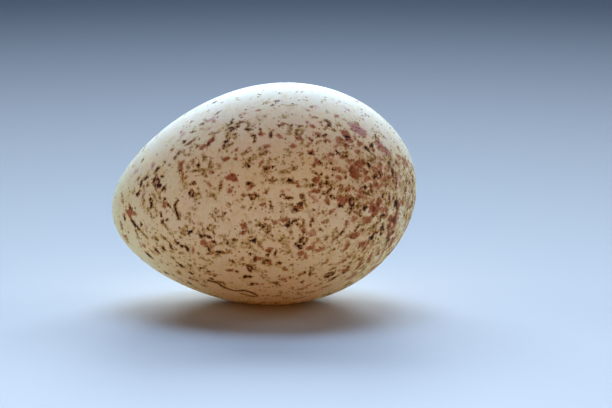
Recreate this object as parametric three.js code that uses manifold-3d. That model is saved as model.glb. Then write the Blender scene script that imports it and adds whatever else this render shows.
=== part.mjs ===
// A blue tit's egg, whole and fresh, lying on its side the way it comes to rest on a table.
//
// The egg is one solid, grown as one piece. Its outline is turned round the long axis, which runs
// along X: the pointed end lies towards -X and the blunt end towards +X. The long axis isn't level.
// A smooth egg rolls until its centre of mass is straight above the point it stands on, which leaves
// the blunt end raised, and the tilt is worked out here from the outline itself.
//
// Millimetres, +Z up. The origin is the middle of the small flat spot that the egg rests on.

import * as THREE from "three";
import { mergeVertices } from "three/addons/utils/BufferGeometryUtils.js";
import Module from "manifold-3d";

// Driving dimensions.
const EGG_LENGTH = 16.0;
const EGG_BREADTH = 11.6;
const TAPER = 0.127; // how much fuller the blunt half is than the pointed half
const END_FULLNESS = -0.0945; // below zero draws both ends in from a plain ellipse
const REST_SPOT_DEPTH = 0.12; // how far the shell is flattened where it meets the table

// Mesh fineness.
const STEPS_ALONG = 48; // from tip to tip
const STEPS_AROUND = 64;
const SUMS = 4000; // slices in the centre of mass sum

const SHELL_COLOUR = 0xe6d5bf; // cream white

// The outline before it is scaled to size: u runs from -1 at the pointed tip to +1 at the blunt pole.
function outlineShape(u) {
  return Math.sqrt(Math.max(0, 1 - u * u)) * (1 + TAPER * u + END_FULLNESS * u * u);
}

// The middle of each slice in an even division of the egg from tip to tip.
const slices = Array.from({ length: SUMS }, (_, i) => (2 * i + 1) / SUMS - 1);

const widestShape = Math.max(...slices.map(outlineShape));

// Distance along the long axis, and the egg's radius there, in millimetres.
const along = (u) => (u * EGG_LENGTH) / 2;
const radius = (u) => (outlineShape(u) / widestShape) * (EGG_BREADTH / 2);

// The slope of the outline: how fast the radius grows along the axis.
function slope(u) {
  const h = 1e-5;
  return (radius(u + h) - radius(u - h)) / (along(u + h) - along(u - h));
}

// Where the centre of mass of the solid egg lies on its axis. Each slice is a disc.
function centreOfMass() {
  let volume = 0;
  let moment = 0;
  for (const u of slices) {
    volume += radius(u) ** 2;
    moment += radius(u) ** 2 * along(u);
  }
  return moment / volume;
}

// Halves the bracket until it holds the u at which f crosses zero. f falls from low to high.
function crossing(f, low, high) {
  for (let i = 0; i < 50; i++) {
    const middle = (low + high) / 2;
    if (f(middle) > 0) low = middle;
    else high = middle;
  }
  return (low + high) / 2;
}

// The egg stands where the line square to its outline passes through the centre of mass. That line
// meets the axis at along + radius * slope.
const centre = centreOfMass();
const standing = crossing((u) => centre - along(u) - radius(u) * slope(u), -0.7, 0.5);
const tilt = Math.atan(slope(standing));

// The whole egg, turned round Y as three.js does, then laid along X with the blunt end raised.
function layDown(geometry) {
  geometry.rotateZ(-Math.PI / 2);
  geometry.rotateY(-tilt);
  const foot = new THREE.Vector3(along(standing), 0, -radius(standing));
  foot.applyAxisAngle(new THREE.Vector3(0, 1, 0), -tilt);
  geometry.translate(-foot.x, 0, -foot.z - REST_SPOT_DEPTH);
  return geometry;
}

// Even steps in angle put the points close together near the ends, where the outline bends most.
function eggGeometry() {
  const outline = [];
  for (let i = 0; i <= STEPS_ALONG; i++) {
    const u = -Math.cos((i * Math.PI) / STEPS_ALONG);
    outline.push(new THREE.Vector2(radius(u), along(u)));
  }
  return layDown(new THREE.LatheGeometry(outline, STEPS_AROUND));
}

const wasm = await Module();
wasm.setup();

// A closed geometry as a solid that can be cut.
function solidOf(geometry) {
  const positions = geometry.clone();
  positions.deleteAttribute("normal");
  positions.deleteAttribute("uv");
  const merged = mergeVertices(positions, 1e-5);
  const mesh = new wasm.Mesh({
    numProp: 3,
    vertProperties: merged.attributes.position.array,
    triVerts: new Uint32Array(merged.index.array),
  });
  return new wasm.Manifold(mesh);
}

// A cut solid back as a geometry.
function geometryOf(solid) {
  const mesh = solid.getMesh();
  const geometry = new THREE.BufferGeometry();
  geometry.setAttribute("position", new THREE.BufferAttribute(mesh.vertProperties, 3));
  geometry.setIndex(new THREE.BufferAttribute(mesh.triVerts, 1));
  geometry.computeVertexNormals();
  return geometry;
}

// The table top, as the block that flattens the underside.
function tableGeometry() {
  const side = 2 * EGG_LENGTH;
  return new THREE.BoxGeometry(side, side, side).translate(0, 0, -side / 2);
}

const eggMaterial = new THREE.MeshStandardMaterial({
  color: SHELL_COLOUR,
  roughness: 0.55,
  metalness: 0,
});

const egg = new THREE.Mesh(
  geometryOf(solidOf(eggGeometry()).subtract(solidOf(tableGeometry()))),
  eggMaterial,
);
egg.name = "egg";

const blueTitEgg = new THREE.Group();
blueTitEgg.add(egg);

export default blueTitEgg;
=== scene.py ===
"""A blue tit's egg on its side: the finished shell with its markings, on a pale studio floor.

Lengths are in millimetres up to the point where a mesh, a light or a camera is made, which is in
metres. Places on the shell are given as the egg's own two measures: how far down the shell from the
pointed tip, in millimetres along the surface, and how far round the long axis, in degrees, with 0 at
the side that faces -Y and 90 on top.
"""
import math

import bpy
import numpy as np
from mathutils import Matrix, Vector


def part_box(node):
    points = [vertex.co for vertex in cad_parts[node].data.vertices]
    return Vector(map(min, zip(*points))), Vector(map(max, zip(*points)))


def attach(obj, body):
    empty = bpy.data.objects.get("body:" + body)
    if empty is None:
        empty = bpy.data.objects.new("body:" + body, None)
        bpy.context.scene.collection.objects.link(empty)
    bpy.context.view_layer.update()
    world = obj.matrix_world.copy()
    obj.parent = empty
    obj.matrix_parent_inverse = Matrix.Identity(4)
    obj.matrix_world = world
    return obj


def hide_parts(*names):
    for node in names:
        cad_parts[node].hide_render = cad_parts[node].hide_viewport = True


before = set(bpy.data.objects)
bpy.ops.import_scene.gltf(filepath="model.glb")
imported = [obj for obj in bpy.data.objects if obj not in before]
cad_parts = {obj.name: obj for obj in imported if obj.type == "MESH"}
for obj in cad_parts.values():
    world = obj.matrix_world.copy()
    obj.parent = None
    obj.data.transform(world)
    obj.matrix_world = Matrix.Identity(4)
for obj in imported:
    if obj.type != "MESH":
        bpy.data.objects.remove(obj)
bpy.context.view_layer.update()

MM = 0.001

# The egg's outline, the same as the solid's: fuller towards the blunt end, drawn in at both ends.
EGG_LENGTH = 16.0
EGG_BREADTH = 11.6
LENGTH_TO_BREADTH = EGG_LENGTH / EGG_BREADTH
TAPER = 0.127
END_FULLNESS = -0.0945
OUTLINE_POINTS = 4001
MIDDLE_PART = 0.6  # how much of each half of the egg, from its middle, may be where it stands

# The grid that the shell is worked out on: rings from tip to tip, and columns round the long axis,
# which stand closer together on the side that faces -Y.
RINGS = 300
FRONT_COLUMNS = 190
BACK_COLUMNS = 140
FRONT_HALF_ANGLE = 75.0

RANDOM_SEED = 5


# ---------------------------------------------------------------------------------------- camera

# The angle down to the egg in degrees, the distance, the focal length, the width of the sensor and
# the point looked at in mm, and the nearest and farthest that shows in metres.
CAMERA_ELEVATION = 10.0
CAMERA_DISTANCE = 178.0
CAMERA_LENS = 200.0
CAMERA_SENSOR = 36.0
CAMERA_AIM = (1.80, 0.0, 5.17)
CAMERA_NEAREST = 0.01
CAMERA_FARTHEST = 10.0


def make_camera():
    """A long lens, level across the egg and a little above it."""
    data = bpy.data.cameras.new("camera")
    data.lens = CAMERA_LENS
    data.sensor_width = CAMERA_SENSOR
    data.clip_start = CAMERA_NEAREST
    data.clip_end = CAMERA_FARTHEST
    camera = bpy.data.objects.new("camera", data)
    bpy.context.scene.collection.objects.link(camera)
    down = math.radians(CAMERA_ELEVATION)
    camera.location = (
        CAMERA_AIM[0] * MM,
        (CAMERA_AIM[1] - CAMERA_DISTANCE * math.cos(down)) * MM,
        (CAMERA_AIM[2] + CAMERA_DISTANCE * math.sin(down)) * MM,
    )
    camera.rotation_euler = (math.radians(90) - down, 0.0, 0.0)
    bpy.context.scene.camera = camera


# ------------------------------------------------------------------------------------- materials


def linear(hex_code):
    """An sRGB hex colour as linear red, green, blue and alpha."""
    channels = np.array([int(hex_code[i : i + 2], 16) for i in (1, 3, 5)]) / 255
    low = channels / 12.92
    high = ((channels + 0.055) / 1.055) ** 2.4
    return (*np.where(channels <= 0.04045, low, high).tolist(), 1.0)


def per_metre(feature):
    """The texture scale that draws features of this size, in mm."""
    return 1 / (feature * MM)


def node(tree, kind, inputs=None, **settings):
    """Adds a node. Settings are its own properties, and inputs gives its sockets values or links."""
    made = tree.nodes.new("ShaderNode" + kind)
    for name, value in settings.items():
        setattr(made, name, value)
    for socket, value in (inputs or {}).items():
        if isinstance(value, bpy.types.NodeSocket):
            tree.links.new(value, made.inputs[socket])
        else:
            made.inputs[socket].default_value = value
    return made


def new_material(name):
    """A material with its node tree cleared down to a Principled shader, and that shader."""
    material = bpy.data.materials.new(name)
    material.use_nodes = True
    tree = material.node_tree
    tree.nodes.clear()
    shader = node(tree, "BsdfPrincipled")
    node(tree, "OutputMaterial", {"Surface": shader.outputs["BSDF"]})
    return material, tree, shader


def stained(tree, below, colour, amount):
    """The colour below, seen through an amount of pigment.

    Each channel of what lies below is multiplied by the pigment's own raised to that amount, the way
    a dye takes more from light the more of it there is. So a little rust pigment looks tan.
    """
    let_through = node(tree, "Gamma", {"Color": linear(colour), "Gamma": amount})
    layers = {0: 1.0, 6: below, 7: let_through.outputs["Color"]}
    return node(tree, "Mix", layers, data_type="RGBA", blend_type="MULTIPLY").outputs[2]


# The shell's noises: the size of their features in mm, their detail and their roughness. The real
# grain is finer than the two finest, which are drawn as coarse as they need to be to show.
SHELL_NOISES = {
    "cloud": (1.6, 4.0, 0.6),
    "clump": (0.9, 3.0, 0.6),
    "patch": (0.45, 5.0, 0.7),
    "grain": (0.14, 4.0, 0.75),
    "fine": (0.09, 3.0, 0.7),
    "pitting": (0.09, 2.0, 0.6),
}
PITTING_DEPTH = 0.02
PITTING_STRENGTH = 0.25

# The unmarked shell is cream, clouded between two shades. Four faint layers lie on it, in this order:
# sandy grain all over, a warm tone low down, golden patches, and a brown haze over the blunt part.
# The warm tone low down is painted light: a painted glow of light coming through the lower shell.
# The other three are stains.
CREAM_SHADES = ("#faf4da", "#f6ecca")
STAINS_AND_PAINTED_GLOW = {"sandy": "#e6d2a4", "warm": "#fff6de", "golden": "#d6bc74", "haze": "#cfac84"}

# The stains that follow a noise: which one, its value where the stain starts, its value where it is
# full, and how strong it then is. The warm tone is painted light and not a stain, and it follows the
# height above the table, in mm.
NOISE_STAINS = {
    "sandy": ("grain", 0.35, 0.65, 0.3),
    "golden": ("patch", 0.5, 0.7, 0.25),
    "haze": ("patch", 0.42, 0.66, 1.0),
}
# painted light: the heights in mm where the painted warm glow near the table starts and is full
PAINTED_GLOW_STARTS = 6.5
PAINTED_GLOW_FULL = 1.5

# Flecks, each with a colour, the spacing of its cells, its least and most reach in mm, and a strength.
PALE_FLECK = ("#cab070", 0.24, 0.02, 0.10, 0.9)
TAN_FLECK = ("#94703a", 0.17, 0.02, 0.055, 0.8)
DARK_FLECK = ("#6a4018", 0.28, 0.015, 0.045, 1.0)
FLECK_SOFTNESS = 0.02
STIRRED_BY = 0.2  # how far fine noise pushes the flecks about, in mm, so that they aren't round

# Pigments in the order that they are laid: the kind of mark, the colour, how far noise pushes its
# edge and how soft that is in mm, how uneven it is inside, and how much it is grown in mm.
PIGMENT_LAYERS = [
    ("lilac", "#d0a0a8", 0.12, 0.10, 0.8, 0.0),
    ("olive", "#b4975a", 0.16, 0.10, 1.2, 0.0),
    ("olive", "#b08a5c", 0.2, 0.03, 2.0, -0.04),
    ("rust", "#ba7a5a", 0.12, 0.06, 1.1, 0.0),
    ("dark", "#c8a470", 0.16, 0.04, 0.9, 0.03),
    ("dark", "#42220c", 0.14, 0.015, 1.0, -0.015),
]

# How deep light scatters in the shell, in mm, and the part of that for red, green and blue.
GLOW_DEPTH = 5.0
GLOW_CHANNELS = (1.0, 0.8, 0.45)


def pigment_layer(tree, below, ragged, mottle, kind, colour, most, softness, uneven, grown):
    """Lays one kind of mark over the colour below.

    The attribute named for the kind has in its x the distance in mm from the mark's edge, positive
    inside, and in its y how much pigment that mark has. Noise pushes the edge in and out by up to
    `most` mm, the whole mark is grown by `grown` mm, and the colour comes in over `softness` mm on
    each side. Inside, the mottle changes the amount by up to `uneven` times itself.
    """
    field = node(tree, "Attribute", attribute_name=kind, attribute_type="GEOMETRY")
    parts = node(tree, "SeparateXYZ", {"Vector": field.outputs["Vector"]})
    pushed = {0: ragged, 1: most, 2: parts.outputs["X"]}
    edge = node(tree, "Math", pushed, operation="MULTIPLY_ADD").outputs["Value"]
    across = {"Value": edge, "From Min": -grown - softness, "From Max": -grown + softness}
    inside = node(tree, "MapRange", across, interpolation_type="SMOOTHSTEP").outputs["Result"]
    patchy = node(tree, "Math", {0: mottle, 1: uneven, 2: 1.0}, operation="MULTIPLY_ADD")
    mottled = {0: patchy.outputs["Value"], 1: parts.outputs["Y"]}
    held = node(tree, "Math", mottled, operation="MULTIPLY", use_clamp=True).outputs["Value"]
    amount = node(tree, "Math", {0: inside, 1: held}, operation="MULTIPLY").outputs["Value"]
    return stained(tree, below, colour, amount)


def fleck_layer(tree, below, place, crowd, colour, spacing, least, most, strength):
    """Fine flecks, too small to be marks of their own, laid over the colour below.

    Each cell of a Voronoi pattern, `spacing` mm across, may hold one fleck. A random number in each
    cell sets whether it does, where `crowd` is the share of cells that do, and another sets how far
    out the fleck reaches, between `least` and `most` mm.
    """
    cells = node(tree, "TexVoronoi", {"Vector": place, "Scale": per_metre(spacing)}).outputs
    chance = node(tree, "SeparateColor", {"Color": cells["Color"]}).outputs
    held = node(tree, "Math", {0: chance["Red"], 1: crowd}, operation="LESS_THAN").outputs["Value"]
    between = {0: chance["Green"], 1: (most - least) / spacing, 2: least / spacing}
    reach = node(tree, "Math", between, operation="MULTIPLY_ADD").outputs["Value"]
    edge = node(tree, "Math", {0: reach, 1: cells["Distance"]}, operation="SUBTRACT")
    softness = FLECK_SOFTNESS / spacing
    across = {"Value": edge.outputs["Value"], "From Min": -softness, "From Max": softness}
    inside = node(tree, "MapRange", across).outputs["Result"]
    shown = node(tree, "Math", {0: inside, 1: held}, operation="MULTIPLY").outputs["Value"]
    amount = node(tree, "Math", {0: shown, 1: strength}, operation="MULTIPLY").outputs["Value"]
    return stained(tree, below, colour, amount)


def eggshell_material():
    """Calcite eggshell, laid down in fine crystals and left unglazed by the bird.

    It is dense and cream white, scatters light deep under its surface so that the egg glows where
    light comes through, and has only a faint sheen. The pigments lie in the shell's outer layer, so
    they stain it without standing proud.
    """
    material, tree, shader = new_material("calcite_eggshell")
    place = node(tree, "TexCoord").outputs["Object"]
    noise = {}
    for name, (feature, detail, rough) in SHELL_NOISES.items():
        look = {"Vector": place, "Scale": per_metre(feature), "Detail": detail, "Roughness": rough}
        noise[name] = node(tree, "TexNoise", look).outputs

    first, second = [linear(shade) for shade in CREAM_SHADES]
    clouded = {0: noise["cloud"]["Fac"], 6: first, 7: second}
    colour = node(tree, "Mix", clouded, data_type="RGBA").outputs[2]

    amounts = {}
    for stain, (source, start, full, most) in NOISE_STAINS.items():
        span = {"Value": noise[source]["Fac"], "From Min": start, "From Max": full, "To Max": most}
        amounts[stain] = node(tree, "MapRange", span).outputs["Result"]
    # painted light: the shell is tinted warmer towards the table, a painted glow of light through its
    # lower part
    height = node(tree, "SeparateXYZ", {"Vector": place}).outputs["Z"]
    low_down = {"Value": height, "From Min": PAINTED_GLOW_STARTS * MM, "From Max": PAINTED_GLOW_FULL * MM}
    warm = node(tree, "MapRange", low_down, interpolation_type="SMOOTHSTEP")
    amounts["warm"] = warm.outputs["Result"]
    blunt_part = node(tree, "Attribute", attribute_name="haze", attribute_type="GEOMETRY")
    hazy = {0: amounts["haze"], 1: blunt_part.outputs["Fac"]}
    amounts["haze"] = node(tree, "Math", hazy, operation="MULTIPLY").outputs["Value"]
    # sandy, golden and haze are stains; warm is painted light
    for stain, shade in STAINS_AND_PAINTED_GLOW.items():
        colour = stained(tree, colour, shade, amounts[stain])

    # the noises that push edges and that make marks uneven run from -1 to 1 instead of 0 to 1
    spread = {0: noise["fine"]["Fac"], 1: 2.0, 2: -1.0}
    ragged = node(tree, "Math", spread, operation="MULTIPLY_ADD").outputs["Value"]
    spread = {0: noise["grain"]["Fac"], 1: 2.0, 2: -1.0}
    mottle = node(tree, "Math", spread, operation="MULTIPLY_ADD").outputs["Value"]

    push = {0: noise["fine"]["Color"], 1: (STIRRED_BY * MM,) * 3, 2: place}
    stirred = node(tree, "VectorMath", push, operation="MULTIPLY_ADD").outputs["Vector"]
    nearby = node(tree, "Attribute", attribute_name="crowding", attribute_type="GEOMETRY")
    doubled = node(tree, "Math", {0: noise["clump"]["Fac"], 1: 2.0}, operation="MULTIPLY")
    clumped = {0: doubled.outputs["Value"], 1: nearby.outputs["Fac"]}
    crowd = node(tree, "Math", clumped, operation="MULTIPLY").outputs["Value"]

    colour = fleck_layer(tree, colour, stirred, crowd, *PALE_FLECK)
    colour = fleck_layer(tree, colour, stirred, crowd, *TAN_FLECK)
    for layer in PIGMENT_LAYERS:
        colour = pigment_layer(tree, colour, ragged, mottle, *layer)
    colour = fleck_layer(tree, colour, stirred, crowd, *DARK_FLECK)
    tree.links.new(colour, shader.inputs["Base Color"])

    shader.subsurface_method = "RANDOM_WALK"
    shader.inputs["Subsurface Weight"].default_value = 1.0
    shader.inputs["Subsurface Radius"].default_value = GLOW_CHANNELS
    shader.inputs["Subsurface Scale"].default_value = GLOW_DEPTH * MM
    shader.inputs["Roughness"].default_value = 0.6
    shader.inputs["IOR"].default_value = 1.6
    shader.inputs["Specular IOR Level"].default_value = 0.2

    pits = {"Height": noise["pitting"]["Fac"], "Strength": PITTING_STRENGTH}
    relief = node(tree, "Bump", {**pits, "Distance": PITTING_DEPTH * MM})
    tree.links.new(relief.outputs["Normal"], shader.inputs["Normal"])
    return material


# ------------------------------------------------------------------------------- the egg's shape


def outline_shape(u):
    """Radius over length for u from -1 at the pointed tip to 1 at the blunt pole, before scaling."""
    return np.sqrt(np.maximum(0, 1 - u * u)) * (1 + TAPER * u + END_FULLNESS * u * u)


class Shell:
    """The egg's outline in mm, with its surface as a function of two measures.

    Down is the distance from the pointed tip along the outline, and round is the angle about the
    long axis. The radius at a place on the axis is the outline's shape scaled to the egg's breadth,
    and the egg is tilted until its centre of mass is straight above the point it stands on.
    """

    def __init__(self, low, high):
        u = -np.cos(np.linspace(0, np.pi, OUTLINE_POINTS))
        shape = outline_shape(u)
        self.axis = u * LENGTH_TO_BREADTH / 2
        self.radius = shape / shape.max() / 2
        slope = np.gradient(self.radius[1:-1], self.axis[1:-1])
        weight = self.radius**2
        centre = np.trapz(weight * self.axis, self.axis) / np.trapz(weight, self.axis)
        off = np.abs(centre - self.axis[1:-1] - self.radius[1:-1] * slope)
        standing = np.argmin(off + (np.abs(u[1:-1]) > MIDDLE_PART))
        tilt = math.atan(slope[standing])
        self.cos, self.sin = math.cos(tilt), math.sin(tilt)

        # the scale that gives the tilted egg the solid's extent along X
        ends = self.axis * self.cos + np.outer([1, -1], self.radius) * self.sin
        scale = (high[0] - low[0]) / MM / (ends.max() - ends.min())
        self.axis = self.axis * scale
        self.radius = self.radius * scale
        steps = np.hypot(np.diff(self.axis), np.diff(self.radius))
        self.down = np.concatenate([[0], np.cumsum(steps)])
        tops = self.axis * self.sin + self.radius * self.cos
        self.shift = np.array([low[0] / MM - ends.min() * scale, 0, high[2] / MM - tops.max()])

    def radius_at(self, down):
        """The distance from the long axis to the shell there, in mm."""
        return np.interp(down, self.down, self.radius)

    def own_place(self, down, round_angle):
        """Places in the egg's own frame, before it is laid down: axis, across and up, in mm."""
        axis = np.interp(down, self.down, self.axis)
        radius = self.radius_at(down)
        return np.stack(
            [axis + 0 * round_angle, -radius * np.cos(round_angle), radius * np.sin(round_angle)], -1
        )

    def laid_down(self, places):
        """The same places on the resting egg, flattened where it meets the table."""
        x = places[..., 0] * self.cos - places[..., 2] * self.sin
        z = places[..., 0] * self.sin + places[..., 2] * self.cos
        laid = np.stack([x, places[..., 1], z], -1) + self.shift
        laid[..., 2] = np.maximum(laid[..., 2], 0)
        return laid


# -------------------------------------------------------------------------------- the markings


# Between SEEN_FROM and SEEN_TO, in degrees round, marks are placed one by one, with small random ones
# and the blunt end's extra ones among them. The rest of the shell carries random ones of the same
# kinds and sizes. Past SEEN_TO a part of those, FEWEST, stays, and it rises to all of them THINNED_OUT
# degrees further on.
SEEN_FROM = -65.0
SEEN_TO = 80.0
THINNED_OUT = 32.0
FEWEST = 0.2

# A strip with few marks, in degrees: where its middle lies round the shell, how far from that none of
# the blunt end's extra marks lie, and how far from it they are back to their full number.
BARE_STRIP = 75.0
STRIP_CLEAR = 12.0
STRIP_OVER = 42.0

FAR_FROM_A_MARK = -0.4  # the edge distance, in mm, that the shell starts with before marks are laid
SPOT_REACH = 0.75  # how far a spot with lobes may reach from its middle, as a part of its full size
OTHER_SIDE = 1.5  # the number of reaches beyond which a place lies on the far side of a tip
TINY = 1e-3  # mm: the step that gives the shell's direction, and the least radius reckoned with
DOTS_A_WIDTH = 3  # how many dots a line has for each width of its length
LOBES = 3
LOBE_SPREAD = 0.14  # how much lobes change a spot's radius, as a part of it
STRETCHES = (1.0, 1.9)  # the least and the most that a random spot is longer than it is wide
CROWDING_POWER = 1.5  # above 1, crowding rises slowly first and fastest at the blunt end
LINE_STRENGTH = 0.9
RING_FILL = 0.6  # the strength of the lilac that fills a dark ring

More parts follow.
